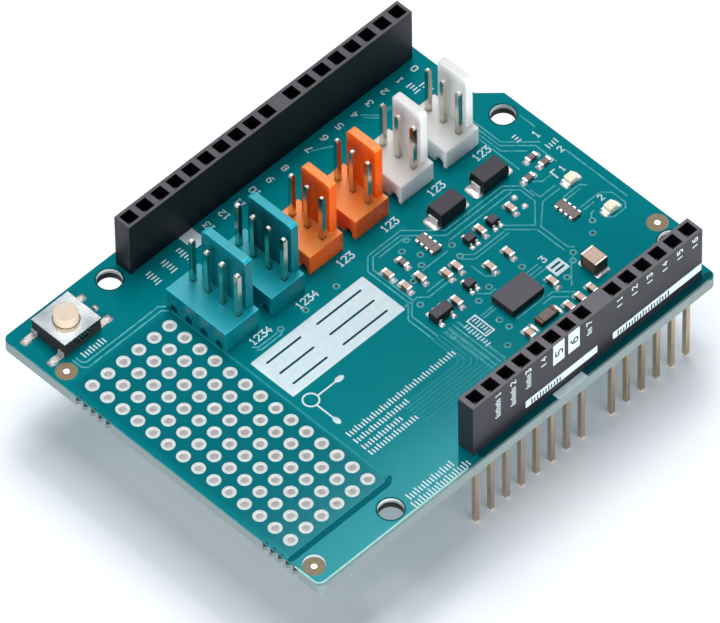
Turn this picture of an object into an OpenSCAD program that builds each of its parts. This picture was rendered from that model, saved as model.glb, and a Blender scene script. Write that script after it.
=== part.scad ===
/* [Board] */
// Length of the board, side tab included
board_l = 68.58; // [68:0.02:72]
// Width of the board
board_w = 53.34; // [53.2:0.02:55]
// Thickness of the board
board_t = 1.6; // [1:0.1:2.4]
// Height of the board's underside above the pin tips
stand_h = 13; // [9:0.5:15]
// Diameter of the mounting holes
hole_d = 3.2; // [2.6:0.1:3.4]
// Columns of the prototyping grid
grid_columns = 6; // [2:1:6]
// Rows of the prototyping grid
grid_rows = 14; // [2:1:14]
// Diameter of a grid pad
grid_pad_d = 1.75; // [1.5:0.05:2.2]

/* [Stacking headers] */
// Height of a header strip
header_h = 8.5; // [7.5:0.1:9]
// Width of a header strip
header_w = 2.5; // [2.3:0.05:2.54]
// Side of a square socket
socket_w = 1.7; // [1.3:0.05:1.75]
// Side of a square pin
pin_w = 0.64; // [0.5:0.02:0.66]

/* [Pin connectors] */
// Distance from one connector to the next
connector_step = 7.62; // [6.5:0.02:7.8]
// Height of a connector's base
connector_base_h = 3.15; // [2.6:0.05:3.6]
// Height of a connector's lock wall
lock_wall_h = 11.6; // [9:0.1:13]
// Height of the connector pins
connector_pin_h = 10.35; // [8:0.05:12]

/* [Reset switch] */
// Side of the switch base across its terminals
switch_l = 6; // [5.4:0.1:6.4]
// Side of the switch base along its terminal rows
switch_w = 5.5; // [5.3:0.1:5.7]
// Height of the switch base
switch_h = 2; // [1.9:0.05:2.4]
// Diameter of the button's stem
button_d = 3.1; // [2.4:0.1:3.3]
// Height of the button above the board
button_h = 3.5; // [2.9:0.1:4.5]

/* [Small parts] */
// Length of the sensor chip
sensor_l = 5.3; // [4:0.1:6]
// Width of the sensor chip
sensor_w = 3.6; // [3:0.1:4.2]
// Height of the sensor chip
sensor_h = 1.1; // [0.8:0.1:1.4]
// Length of a diode body
diode_l = 4.3; // [3.8:0.1:4.6]
// Width of a diode body
diode_w = 2.6; // [2:0.1:2.9]
// Height of a diode
diode_h = 2.15; // [1.8:0.05:2.5]

/* [Hidden] */
$fn = 48;
pitch = 2.54;
board_top = stand_h + board_t;
cut = 1;

// Outline of the board and its holes
tab = pitch;
tab_low = 2 * pitch;
tab_high = 37.846;
clipped_corner = 1.524;
corner_r = 1;
main_l = board_l - tab;
MOUNTING_HOLES = [
    [6 * pitch, board_w - pitch],
    [5.5 * pitch, pitch],
    [board_l - pitch, 14 * pitch],
    [board_l - pitch, 3 * pitch]
];
bite_d = 0.8;
bite_step = 1.255;
bites = 5;
BITE_ROWS = [6.74, 37.9];
pin_hole_d = 1.04;

// Prototyping grid
GRID = [for (i = [1 : grid_columns]) for (j = [3 : grid_rows + 2]) [i * pitch, j * pitch]];
grid_hole_d = 1;
plating_t = 0.1;
plating_gap = 0.01;
pad_t = 0.04;

// Stacking headers: socket places along the strip, and the row's distance from the front edge
DIGITAL_X = concat([for (i = [0 : 9]) 18.796 + i * pitch], [for (i = [18 : 25]) i * pitch]);
DIGITAL_Y = board_w - pitch;
POWER_X = concat([for (i = [11 : 18]) i * pitch], [for (i = [20 : 25]) i * pitch]);
POWER_Y = pitch;
header_end = pitch / 2;
power_first_end = header_end + 0.3;
socket_floor = 1.5;
pin_play = 0.03;
yoke_w = 1.1;
yoke_h = 0.3;
leaf_t = 0.22;
leaf_top = 6.6;
leaf_y = 0.45;
pin_tip = 0.25;

// Pin connectors: name, ways, colour of the housing
CONNECTORS = [
    ["bus_connector_1", 4, "#0b97a5"],
    ["bus_connector_2", 4, "#0b97a5"],
    ["output_connector_1", 3, "#f0661a"],
    ["output_connector_2", 3, "#f0661a"],
    ["input_connector_1", 3, "#e6e4e0"],
    ["input_connector_2", 3, "#e6e4e0"]
];
connector_x = 20.45;
connector_y = 15 * pitch;
connector_slack = 0.1;
base_front = 3.35;
base_back = 2.2;
lock_wall_t = 1.15;
lock_wall_inset = 0.95;
lock_wall_slack = 0.2;
lock_wall_r = 0.6;
arch_w = 1.25;
arch_deep = 1.5;
arch_h = 0.5;
connector_tail = 1.5;

// Solder joints under the board
solder_h = 0.9;
solder_top_r = 0.95;
solder_tip_r = 0.56;
solder_gap = 0.01;

// Reset switch
switch_at = [6.22, 48.78];
switch_floor = 0.6;
switch_bore_r = 2.25;
cover_t = 0.3;
cover_over_x = 0.05;
cover_tab_t = 0.15;
cover_tab_w = 2.4;
cover_tab_low = 0.9;
button_play = 0.1;
flange_r = 1.95;
flange_t = 0.5;
flange_gap = 0.05;
nub_r = 0.6;
nub_low = 1.15;
dome_r = 1.9;
dome_h = 0.5;
dome_t = 0.08;
terminal_step = 4.5;
terminal_w = 0.9;
terminal_foot = 1.5;
terminal_rise = 0.9;
terminal_t = 0.2;

// Sensor chip, diodes and lamps
sensor_at = [47.15, 14.45];
DIODES = [[57.62, 29.55], [50.42, 29.55]];
diode_foot_t = 0.2;
diode_lead_w = 1.5;
diode_lead_h = 1.15;
diode_foot = 0.9;
diode_draft = 0.15;
LEDS = [[64.4, 22.6], [64.55, 16.15]];
LED_SIZE = [2, 1.25, 0.35];
led_end = 0.35;
led_lens_h = 0.5;

// Ceramic capacitors: place, size, depth of the end terminals
bulk_at = [56.85, 11.37];
BULK_SIZE = [2.6, 2, 2.05];
bulk_end = 0.35;
filter_at = [47.25, 9.8];
FILTER_SIZE = [2.9, 1.35, 0.75];
filter_end = 0.45;

// Regulator and transistors
regulator_at = [38.85, 18.97];
REGULATOR_SIZE = [2.9, 1.6, 1.2];
REGULATOR_LEADS = [[-0.95, -1], [0.95, -1], [-0.95, 1], [0, 1], [0.95, 1]];
regulator_lead_w = 0.4;
TRANSISTORS = [[44.3, 19.7], [49.25, 24.55], [53.15, 24.6]];
TRANSISTOR_SIZE = [1.4, 1.25, 0.95];
TRANSISTOR_LEADS = [[-0.45, -1], [0.45, -1], [0, 1]];
transistor_lead_w = 0.3;
package_gap = 0.1;
package_draft = 0.1;
lead_t = 0.12;
lead_foot = 0.55;

// Resistor arrays
ARRAYS = [[45.4, 27.6], [60.7, 19.5]];
ARRAY_SIZE = [3.2, 1.2, 0.5];
array_ways = 4;
array_step = 0.8;
array_end = [0.45, 0.25];

// Chips, each with its turn about Z in degrees
CHIP_CAPACITORS = [
    [38.65, 27.6, 90], [38.8, 24.8, 90], [41, 24.55, 90], [43.6, 22.7, 90], [45.2, 22.65, 90],
    [41.4, 18.9, 90], [51, 19.8, 90], [47.95, 19.8, 90], [51.5, 13, 90], [54, 8.85, 90],
    [52.05, 8.85, 90], [50.2, 8.85, 90], [43.95, 9.35, 90], [56.1, 24.45, 90], [51.15, 24.6, 90]
];
CAPACITOR_SIZE = [1.6, 0.8, 0.75];
CHIP_RESISTORS = [[61, 26.3, 0], [63.5, 28.3, 0], [64.1, 26.7, 0], [41.25, 27.75, 90]];
RESISTOR_SIZE = [1.6, 0.8, 0.5];
chip_end = 0.35;

// Test points
TEST_POINTS = [[57.75, 25.5], [57.7, 23.7]];
test_point_r = 0.45;
test_point_h = 0.3;

function connector_at(k) = [connector_x + k * connector_step, connector_y];
function connector_ways(k) = CONNECTORS[k][1];
function connector_len(k) = connector_ways(k) * pitch - connector_slack;
function way_y(k, i) = (i - (connector_ways(k) - 1) / 2) * pitch;
function cap_radius(r, h) = (r * r + h * h) / (2 * h);

// Children are drawn from the board's front left corner, with heights from its top face
module on_board() {
    translate([-board_l / 2, -board_w / 2, board_top]) children();
}

// Children are repeated at places on the board, each turned about Z
module at_each(spots) {
    for (spot = spots) {
        turn = len(spot) > 2 ? spot[2] : 0;
        translate([spot[0], spot[1], 0]) rotate([0, 0, turn]) children();
    }
}

// Box that stands on Z = 0, centred in X and Y
module standing_box(size) {
    translate([-size[0] / 2, -size[1] / 2, 0]) cube(size);
}

// Square pin along Z whose two ends are drawn in on all four sides
module square_pin(low, high) {
    intersection() {
        pin_side(low, high);
        rotate([0, 0, 90]) pin_side(low, high);
    }
}

module pin_side(low, high) {
    half = pin_w / 2;
    neck = half - pin_tip / 2;
    rotate([90, 0, 0]) linear_extrude(pin_w, center = true)
        polygon([
            [-neck, low], [neck, low], [half, low + pin_tip], [half, high - pin_tip],
            [neck, high], [-neck, high], [-half, high - pin_tip], [-half, low + pin_tip]
        ]);
}

// Moulded package, widest at its parting line and drawn in above and below it
module package(size, gap, draft) {
    intersection() {
        rotate([90, 0, 0]) linear_extrude(size[1], center = true) package_side(size[0], size[2], gap, draft);
        rotate([90, 0, 90]) linear_extrude(size[0], center = true) package_side(size[1], size[2], gap, draft);
    }
}

module package_side(width, height, gap, draft) {
    half = width / 2;
    parting = height / 2;
    polygon([
        [-half + draft / 2, gap], [half - draft / 2, gap], [half, parting],
        [half - draft, height], [-half + draft, height], [-half, parting]
    ]);
}

// Bent lead whose riser stands against the package at X = 0 and whose foot runs out along X
module bent_lead(foot, width, rise, thickness) {
    translate([0, -width / 2, 0]) cube([foot, width, thickness]);
    translate([0, -width / 2, 0]) cube([thickness, width, rise]);
}

// Bent leads of a package that leave its two long sides
module side_leads(size, leads, width) {
    for (lead = leads) {
        translate([lead[0], lead[1] * size[1] / 2, 0]) rotate([0, 0, lead[1] * 90])
            bent_lead(lead_foot, width, size[2] / 2, lead_t);
    }
}

// Ceramic body between a chip's end terminals
module chip_body(size, end) {
    standing_box([size[0] - 2 * end, size[1], size[2]]);
}

module chip_ends(size, end) {
    for (side = [-1, 1]) {
        translate([side * (size[0] - end) / 2, 0, 0]) standing_box([end, size[1], size[2]]);
    }
}

// Waste outside a rounded corner of the board
module corner_waste(corner, inward) {
    translate([corner[0], corner[1], -board_t / 2]) difference() {
        cube([2 * corner_r, 2 * corner_r, 2 * board_t], center = true);
        translate([inward[0] * corner_r, inward[1] * corner_r, 0])
            cylinder(r = corner_r, h = 3 * board_t, center = true);
    }
}

module board_drill(spots, diameter) {
    for (spot = spots) {
        translate([spot[0], spot[1], -board_t - cut]) cylinder(d = diameter, h = board_t + 2 * cut);
    }
}

module circuit_board() {
    color("#007c82") on_board() difference() {
        translate([0, 0, -board_t]) linear_extrude(board_t)
            polygon([
                [0, 0], [main_l, 0], [main_l, pitch], [board_l, tab_low], [board_l, tab_high],
                [main_l, tab_high + tab], [main_l, board_w - clipped_corner],
                [main_l - clipped_corner, board_w], [0, board_w]
            ]);
        corner_waste([0, 0], [1, 1]);
        corner_waste([main_l, 0], [-1, 1]);
        corner_waste([0, board_w], [1, -1]);
        board_drill(MOUNTING_HOLES, hole_d);
        board_drill(GRID, grid_hole_d + 2 * (plating_t + plating_gap));
        board_drill([for (x = DIGITAL_X) [x, DIGITAL_Y]], pin_hole_d);
        board_drill([for (x = POWER_X) [x, POWER_Y]], pin_hole_d);
        for (k = [0 : len(CONNECTORS) - 1]) {
            ways = [for (i = [0 : connector_ways(k) - 1]) connector_at(k) + [0, way_y(k, i)]];
            board_drill(ways, pin_hole_d);
        }
        for (y = BITE_ROWS) {
            board_drill([for (i = [0 : bites - 1]) [0, y + (i - (bites - 1) / 2) * bite_step]], bite_d);
        }
    }
}

// Plated eyelet through the board with a pad on both faces
module eyelet() {
    inner = grid_hole_d / 2;
    barrel = inner + plating_t;
    pad = grid_pad_d / 2;
    rotate_extrude() polygon([
        [inner, pad_t], [pad, pad_t], [pad, 0], [barrel, 0],
        [barrel, -board_t], [pad, -board_t], [pad, -board_t - pad_t], [inner, -board_t - pad_t]
    ]);
}

module grid_pads() {
    color("#d8d6cf") on_board() at_each(GRID) eyelet();
}

// Moulded strip with a square socket over each pin, and its first end a given way from the first socket
module header_body(places, y, end) {
    low = places[0] - end;
    high = places[len(places) - 1] + header_end;
    through = pin_w + 2 * pin_play;
    difference() {
        translate([low, y - header_w / 2, 0]) cube([high - low, header_w, header_h]);
        for (x = places) {
            translate([x, y, socket_floor]) standing_box([socket_w, socket_w, header_h]);
            translate([x, y, -cut]) standing_box([through, through, socket_floor + 2 * cut]);
        }
    }
}

// Stacking pin below, and a fork of two spring leaves in the socket above
module header_contacts(places, y) {
    for (x = places) {
        translate([x, y, 0]) union() {
            square_pin(-board_top, socket_floor + yoke_h);
            translate([0, 0, socket_floor]) standing_box([yoke_w, yoke_w, yoke_h]);
            for (side = [-1, 1]) {
                translate([0, side * leaf_y, socket_floor])
                    standing_box([yoke_w, leaf_t, leaf_top - socket_floor]);
            }
        }
    }
}

module digital_header_body() {
    color("#2a272c") on_board() header_body(DIGITAL_X, DIGITAL_Y, header_end);
}

module digital_header_contacts() {
    color("#b59a7c") on_board() header_contacts(DIGITAL_X, DIGITAL_Y);
}

module power_header_body() {
    color("#2a272c") on_board() header_body(POWER_X, POWER_Y, power_first_end);
}

module power_header_contacts() {
    color("#b59a7c") on_board() header_contacts(POWER_X, POWER_Y);
}

// Upright wall that a plug's latch grips, with rounded top corners
module lock_wall(length) {
    flat = length - 2 * lock_wall_r;
    translate([base_back - lock_wall_t, 0, 0]) union() {
        cube([lock_wall_t, length, lock_wall_h - lock_wall_r]);
        translate([0, lock_wall_r, 0]) cube([lock_wall_t, flat, lock_wall_h]);
        for (y = [lock_wall_r, length - lock_wall_r]) {
            translate([0, y, lock_wall_h - lock_wall_r]) rotate([0, 90, 0])
                cylinder(r = lock_wall_r, h = lock_wall_t);
        }
    }
}

// Arched gap under the base's front edge
module arch() {
    translate([-base_front - cut, -arch_w / 2, -cut]) cube([arch_deep + cut, arch_w, arch_h + cut]);
    translate([-base_front - cut, 0, arch_h]) rotate([0, 90, 0]) cylinder(d = arch_w, h = arch_deep + cut);
}

module connector_housing(k) {
    length = connector_len(k);
    wall_len = (connector_ways(k) - 1) * pitch - lock_wall_slack;
    through = pin_w + 2 * pin_play;
    color(CONNECTORS[k][2]) on_board() translate(connector_at(k)) difference() {
        union() {
            translate([-base_front, -length / 2, 0]) cube([base_front + base_back, length, connector_base_h]);
            translate([0, lock_wall_inset - length / 2, 0]) lock_wall(wall_len);
        }
        for (i = [0 : connector_ways(k) - 1]) {
            translate([0, way_y(k, i), 0]) arch();
            translate([0, way_y(k, i), -cut]) standing_box([through, through, connector_base_h + 2 * cut]);
        }
    }
}

module connector_pins(k) {
    color("#c9c3b4") on_board() translate(connector_at(k))
        for (i = [0 : connector_ways(k) - 1]) {
            translate([0, way_y(k, i), 0]) square_pin(-board_t - connector_tail, connector_pin_h);
        }
}

// Cone of solder round a pin, under the board
module solder_cone() {
    through = pin_w + 2 * solder_gap;
    translate([0, 0, -board_t - solder_h]) difference() {
        cylinder(r1 = solder_tip_r, r2 = solder_top_r, h = solder_h);
        translate([0, 0, -cut]) standing_box([through, through, solder_h + 2 * cut]);
    }
}

module header_solder() {
    color("#c8cacc") on_board() {
        at_each([for (x = DIGITAL_X) [x, DIGITAL_Y]]) solder_cone();
        at_each([for (x = POWER_X) [x, POWER_Y]]) solder_cone();
    }
}

module connector_solder() {
    color("#c8cacc") on_board()
        for (k = [0 : len(CONNECTORS) - 1]) {
            at_each([for (i = [0 : connector_ways(k) - 1]) connector_at(k) + [0, way_y(k, i)]]) solder_cone();
        }
}

module reset_switch_base() {
    color("#1d1c1e") on_board() translate(switch_at) difference() {
        standing_box([switch_l, switch_w, switch_h]);
        translate([0, 0, switch_floor]) cylinder(r = switch_bore_r, h = switch_h);
    }
}

// Pressed steel cover with a tab folded down each side
module reset_switch_cover() {
    over_w = switch_w + 2 * cover_tab_t;
    color("#cfcfd2") on_board() translate(switch_at) difference() {
        union() {
            translate([0, 0, switch_h]) standing_box([switch_l + 2 * cover_over_x, over_w, cover_t]);
            for (side = [-1, 1]) {
                translate([0, side * (switch_w + cover_tab_t) / 2, cover_tab_low])
                    standing_box([cover_tab_w, cover_tab_t, switch_h + cover_t - cover_tab_low]);
            }
        }
        translate([0, 0, switch_h - cut]) cylinder(r = button_d / 2 + button_play, h = cover_t + 2 * cut);
    }
}

// Button with a flange that the cover keeps in, and a nub over the dome
module reset_button() {
    flange_top = switch_h - flange_gap;
    color("#e8d9c0") on_board() translate(switch_at) union() {
        translate([0, 0, flange_top - flange_t]) cylinder(r = flange_r, h = flange_t);
        translate([0, 0, flange_top - flange_t]) cylinder(d = button_d, h = button_h - flange_top + flange_t);
        translate([0, 0, nub_low]) cylinder(r = nub_r, h = flange_top - nub_low);
    }
}

// Snap dome of thin spring steel on the floor of the switch
module reset_switch_dome() {
    big_r = cap_radius(dome_r, dome_h);
    centre = switch_floor + dome_h - big_r;
    color("#d9d9dc") on_board() translate(switch_at) intersection() {
        translate([0, 0, centre]) difference() {
            sphere(r = big_r);
            sphere(r = big_r - dome_t);
        }
        translate([0, 0, switch_floor]) cylinder(r = dome_r, h = 2 * dome_h);
    }
}

module reset_switch_terminals() {
    color("#d0cdc6") on_board() translate(switch_at)
        for (side = [-1, 1]) {
            for (y = [-terminal_step / 2, terminal_step / 2]) {
                translate([side * switch_l / 2, y, 0]) rotate([0, 0, 90 - side * 90])
                    bent_lead(terminal_foot, terminal_w, terminal_rise, terminal_t);
            }
        }
}

module sensor_chip() {
    color("#4a474c") on_board() translate(sensor_at) standing_box([sensor_l, sensor_w, sensor_h]);
}

module diode_body(k) {
    color("#2b292d") on_board() translate(DIODES[k])
        package([diode_l, diode_w, diode_h], diode_foot_t, diode_draft);
}

// Leads that come out of a diode's ends and fold in under it
module diode_leads(k) {
    color("#d5d5d6") on_board() translate(DIODES[k])
        for (turn = [0, 180]) {
            rotate([0, 0, turn]) translate([diode_l / 2, -diode_lead_w / 2, 0]) {
                cube([diode_foot_t, diode_lead_w, diode_lead_h]);
                translate([-diode_foot, 0, 0]) cube([diode_foot + diode_foot_t, diode_lead_w, diode_foot_t]);
            }
        }
}

module led_base(k) {
    color("#e9e6da") on_board() translate(LEDS[k]) chip_body(LED_SIZE, led_end);
}

module led_lens(k) {
    color("#f2ecc8") on_board() translate(LEDS[k]) translate([0, 0, LED_SIZE[2]])
        chip_body([LED_SIZE[0], LED_SIZE[1], led_lens_h], led_end);
}

module led_terminals(k) {
    color("#d8d6cf") on_board() translate(LEDS[k]) chip_ends(LED_SIZE, led_end);
}

module bulk_capacitor_body() {
    color("#d2b192") on_board() translate(bulk_at) rotate([0, 0, 90]) chip_body(BULK_SIZE, bulk_end);
}

module bulk_capacitor_ends() {
    color("#d6d2cc") on_board() translate(bulk_at) rotate([0, 0, 90]) chip_ends(BULK_SIZE, bulk_end);
}

module filter_capacitor_body() {
    color("#7a5a40") on_board() translate(filter_at) chip_body(FILTER_SIZE, filter_end);
}

module filter_capacitor_ends() {
    color("#d6d2cc") on_board() translate(filter_at) chip_ends(FILTER_SIZE, filter_end);
}

module regulator_body() {
    color("#333034") on_board() translate(regulator_at) package(REGULATOR_SIZE, package_gap, package_draft);
}

module regulator_leads() {
    color("#d5d5d6") on_board() translate(regulator_at)
        side_leads(REGULATOR_SIZE, REGULATOR_LEADS, regulator_lead_w);
}

module transistor_bodies() {
    color("#333034") on_board() at_each(TRANSISTORS) package(TRANSISTOR_SIZE, package_gap, package_draft);
}

module transistor_leads() {
    color("#d5d5d6") on_board() at_each(TRANSISTORS)
        side_leads(TRANSISTOR_SIZE, TRANSISTOR_LEADS, transistor_lead_w);
}

module resistor_array_body(k) {
    color("#3a3436") on_board() translate(ARRAYS[k]) rotate([0, 0, 90]) standing_box(ARRAY_SIZE);
}

// Terminals along both long sides of a resistor array
module resistor_array_ends(k) {
    reach = (ARRAY_SIZE[1] + array_end[1]) / 2;
    color("#d6d2cc") on_board() translate(ARRAYS[k]) rotate([0, 0, 90])
        for (i = [0 : array_ways - 1]) {
            for (side = [-1, 1]) {
                translate([(i - (array_ways - 1) / 2) * array_step, side * reach, 0])
                    standing_box([array_end[0], array_end[1], ARRAY_SIZE[2]]);
            }
        }
}

module chip_capacitor_bodies() {
    color("#c8a888") on_board() at_each(CHIP_CAPACITORS) chip_body(CAPACITOR_SIZE, chip_end);
}

module chip_capacitor_ends() {
    color("#d6d2cc") on_board() at_each(CHIP_CAPACITORS) chip_ends(CAPACITOR_SIZE, chip_end);
}

module chip_resistor_bodies() {
    color("#6b5550") on_board() at_each(CHIP_RESISTORS) chip_body(RESISTOR_SIZE, chip_end);
}

module chip_resistor_ends() {
    color("#d6d2cc") on_board() at_each(CHIP_RESISTORS) chip_ends(RESISTOR_SIZE, chip_end);
}

// Low domes of solder on two round pads
module test_points() {
    big_r = cap_radius(test_point_r, test_point_h);
    color("#dcdad6") on_board() at_each(TEST_POINTS) intersection() {
        translate([0, 0, test_point_h - big_r]) sphere(r = big_r);
        cylinder(r = 2 * test_point_r, h = 2 * test_point_h);
    }
}

circuit_board();
grid_pads();
digital_header_body();
digital_header_contacts();
power_header_body();
power_header_contacts();
for (k = [0 : len(CONNECTORS) - 1]) {
    connector_housing(k);
    connector_pins(k);
}
reset_switch_base();
reset_switch_cover();
reset_button();
reset_switch_dome();
reset_switch_terminals();
sensor_chip();
for (k = [0 : len(DIODES) - 1]) {
    diode_body(k);
    diode_leads(k);
}
for (k = [0 : len(LEDS) - 1]) {
    led_base(k);
    led_lens(k);
    led_terminals(k);
}
bulk_capacitor_body();
bulk_capacitor_ends();
filter_capacitor_body();
filter_capacitor_ends();
regulator_body();
regulator_leads();
transistor_bodies();
transistor_leads();
for (k = [0 : len(ARRAYS) - 1]) {
    resistor_array_body(k);
    resistor_array_ends(k);
}
chip_capacitor_bodies();
chip_capacitor_ends();
chip_resistor_bodies();
chip_resistor_ends();
test_points();
header_solder();
connector_solder();
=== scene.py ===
"""Dresses the motion-sensor board: finishes for its solids, and the tracks, solder and print on them."""

import math

import bmesh
import bpy
import numpy as np
from mathutils import Matrix, Vector


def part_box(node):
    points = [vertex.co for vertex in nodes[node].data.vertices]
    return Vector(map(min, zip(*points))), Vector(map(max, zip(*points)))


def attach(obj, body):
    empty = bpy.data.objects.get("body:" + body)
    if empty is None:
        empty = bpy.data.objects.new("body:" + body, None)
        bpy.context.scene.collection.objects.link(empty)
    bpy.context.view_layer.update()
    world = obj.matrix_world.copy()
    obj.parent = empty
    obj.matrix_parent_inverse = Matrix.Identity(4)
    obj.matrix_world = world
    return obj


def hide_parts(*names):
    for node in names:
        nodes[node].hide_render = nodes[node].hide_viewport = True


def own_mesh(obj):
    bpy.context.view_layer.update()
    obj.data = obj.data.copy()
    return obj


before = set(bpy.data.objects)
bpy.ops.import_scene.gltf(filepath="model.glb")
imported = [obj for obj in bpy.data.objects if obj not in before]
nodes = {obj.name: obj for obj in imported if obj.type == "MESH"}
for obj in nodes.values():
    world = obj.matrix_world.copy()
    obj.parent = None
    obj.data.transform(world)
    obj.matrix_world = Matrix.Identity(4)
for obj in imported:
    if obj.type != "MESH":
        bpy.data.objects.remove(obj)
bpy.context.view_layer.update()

MM = 0.001
# Points closer than this, in metres, are merged.
MERGE = 1e-7
# Step of sockets, pins and grid holes
PITCH = 2.54
board_low, board_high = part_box("circuit_board")
# Board millimetres run from the board's front left corner, with heights from its top face.
BOARD_CORNER = np.array([board_low.x, board_low.y, board_high.z])


def box_mm(node):
    """Lowest and highest corners of a CAD node in board millimetres."""
    return [(np.array(corner) - BOARD_CORNER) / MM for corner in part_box(node)]


# Surfaces: each gives points in millimetres and four-cornered faces.

def grid_faces(rows, columns, closed):
    """Faces between neighbours on a grid of points; closed joins the last column to the first."""
    row = np.arange(rows - 1)[:, None] * columns
    column = np.arange(columns if closed else columns - 1)[None, :]
    beside = (column + 1) % columns
    corners = [row + column, row + beside, row + columns + beside, row + columns + column]
    return np.stack(corners, -1).reshape(-1, 4)


# Shares of a bar's width: its flat top, and what is left at its drawn-in ends
BAR_TOP, BAR_END = 0.7, 0.4
# Least divisor of a mitre, which keeps sharp bends from running out to a spike
MITRE_LEAST = 0.4


def bar(path, width, height, base=0.0):
    """A low bar carried along a path in the plane: its section is a flat top between sloped sides, it is
    mitred at each bend by the sum of the two normals, and its ends are drawn in over half a width."""
    path = np.asarray(path, float)
    along = np.diff(path, axis=0)
    along /= np.linalg.norm(along, axis=1)[:, None]
    across = np.stack([-along[:, 1], along[:, 0]], 1)
    before, after = np.concatenate([across[:1], across]), np.concatenate([across, across[-1:]])
    mitre = (before + after) / np.maximum(1 + (before * after).sum(1), MITRE_LEAST)[:, None]
    spine = np.concatenate([path[:1] - along[:1] * width / 2, path, path[-1:] + along[-1:] * width / 2])
    mitre = np.concatenate([mitre[:1], mitre, mitre[-1:]])
    inner = np.ones(len(spine))
    inner[[0, -1]] = 0
    offset = np.array([1, BAR_TOP, -BAR_TOP, -1]) * width / 2
    lift = np.array([0, height, height, 0])
    reach = offset[None, :] * (BAR_END + (1 - BAR_END) * inner)[:, None]
    flat = spine[:, None, :] + mitre[:, None, :] * reach[..., None]
    level = base + lift[None, :] * inner[:, None]
    return np.concatenate([flat, level[..., None]], -1).reshape(-1, 3), grid_faces(len(spine), 4, False)


def turned(profile, centres, steps=20, sweep=None):
    """A profile of (radius, height) pairs, outer rim first, turned about an upright axis at each centre:
    all the way round, or through a sweep of degrees to each side of the X axis."""
    profile, centres = np.asarray(profile, float), np.asarray(centres, float)
    angle = np.radians(np.linspace(-sweep, sweep, steps)) if sweep else np.arange(steps) * 2 * np.pi / steps
    ring = profile[:, 0, None, None] * np.stack([np.cos(angle), np.sin(angle)], -1)[None]
    height = np.broadcast_to(profile[:, 1, None, None], (*ring.shape[:2], 1))
    one = np.concatenate([ring, height], -1).reshape(-1, 3)
    shift = np.concatenate([centres, np.zeros((len(centres), 1))], 1)
    faces = grid_faces(len(profile), steps, not sweep)
    count = np.arange(len(centres))[:, None, None] * len(one)
    return (shift[:, None, :] + one[None]).reshape(-1, 3), (faces[None] + count).reshape(-1, 4)


# Points round a cushion, and the shares of its size at which its rings lie
CUSHION_STEPS = 24
CUSHION_RINGS = np.array([1, 0.93, 0.75, 0.45, 0])


def cushions(spots, height, square=4.0, crown=2.5):
    """A cushion over each spot (x, y, half length, half width): rings of a superellipse of the square power,
    drawn in towards the middle while the height rises as 1 - s to the crown power, with s from 1 at the rim
    to 0 in the middle."""
    spots = np.asarray(spots, float)
    s = CUSHION_RINGS
    angle = np.arange(CUSHION_STEPS) * 2 * np.pi / CUSHION_STEPS
    circle = np.stack([np.cos(angle), np.sin(angle)], -1)
    rim = np.sign(circle) * np.abs(circle) ** (2 / square)
    flat = spots[:, None, None, :2] + spots[:, None, None, 2:4] * s[None, :, None, None] * rim[None, None]
    level = np.broadcast_to((height * (1 - s ** crown))[None, :, None, None], (*flat.shape[:3], 1))
    points = np.concatenate([flat, level], -1)
    count = np.arange(len(spots))[:, None, None] * (len(s) * len(angle))
    return points.reshape(-1, 3), (grid_faces(len(s), len(angle), True)[None] + count).reshape(-1, 4)


def crescent(centre, radius, width, facing, base, tip=0.02):
    """A flat crescent on a circle: its inner edge is the circle, and its outer edge stands off by a tip plus
    the width times the cosine squared of the angle from the facing direction, over half a turn."""
    angle = np.radians(np.linspace(-90, 90, 25))
    turn = angle + math.radians(facing)
    ray = np.stack([np.cos(turn), np.sin(turn)], -1)
    outer = radius + tip + width * np.cos(angle) ** 2
    flat = np.asarray(centre, float) + np.stack([ray * outer[:, None], ray * radius])
    level = np.full((*flat.shape[:2], 1), base)
    return np.concatenate([flat, level], -1).reshape(-1, 3), grid_faces(2, len(angle), False)


# Printed ink stands this far above the mask, just over the copper tracks.
INK = 0.045
# Plain figures are drawn as strokes on a field four wide and six high, set at equal steps along a row.
FIGURE_WIDE, FIGURE_HIGH, FIGURE_STEP = 4, 6, 5.3
STROKES = {
    "0": [[(1, 0), (3, 0), (4, 1), (4, 5), (3, 6), (1, 6), (0, 5), (0, 1), (1, 0)]],
    "1": [[(1, 5), (2, 6), (2, 0)], [(1, 0), (3, 0)]],
    "2": [[(0, 5), (1, 6), (3, 6), (4, 5), (4, 4), (0, 0), (4, 0)]],
    "3": [[(0, 6), (4, 6), (2, 3.6), (3, 3.6), (4, 2.6), (4, 1), (3, 0), (1, 0), (0, 1)]],
    "4": [[(3, 0), (3, 6), (0, 2), (4, 2)]],
    "5": [[(4, 6), (0, 6), (0, 3.5), (3, 3.5), (4, 2.5), (4, 1), (3, 0), (0, 0)]],
    "6": [[(4, 6), (2, 6), (0, 4), (0, 1), (1, 0), (3, 0), (4, 1), (4, 2.4), (3, 3.4), (0, 3.4)]],
    "7": [[(0, 6), (4, 6), (1.5, 0)]],
    "8": [[(1, 3), (0, 4), (0, 5), (1, 6), (3, 6), (4, 5), (4, 4), (3, 3), (1, 3), (0, 2), (0, 1), (1, 0),
           (3, 0), (4, 1), (4, 2), (3, 3)]],
    "9": [[(0, 0), (2, 0), (4, 2), (4, 5), (3, 6), (1, 6), (0, 5), (0, 3.6), (1, 2.6), (4, 2.6)]],
}
# Width of a scale's strokes, and the shares of their height that its long and short strokes rise
SCALE_STROKE = 0.2
LONG_STROKE, SHORT_STROKE = 0.42, 0.2


def heading(turn):
    """Matrix that turns rows of points by an angle in degrees."""
    angle = math.radians(turn)
    return np.array([[math.cos(angle), math.sin(angle)], [-math.sin(angle), math.cos(angle)]])


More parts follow.
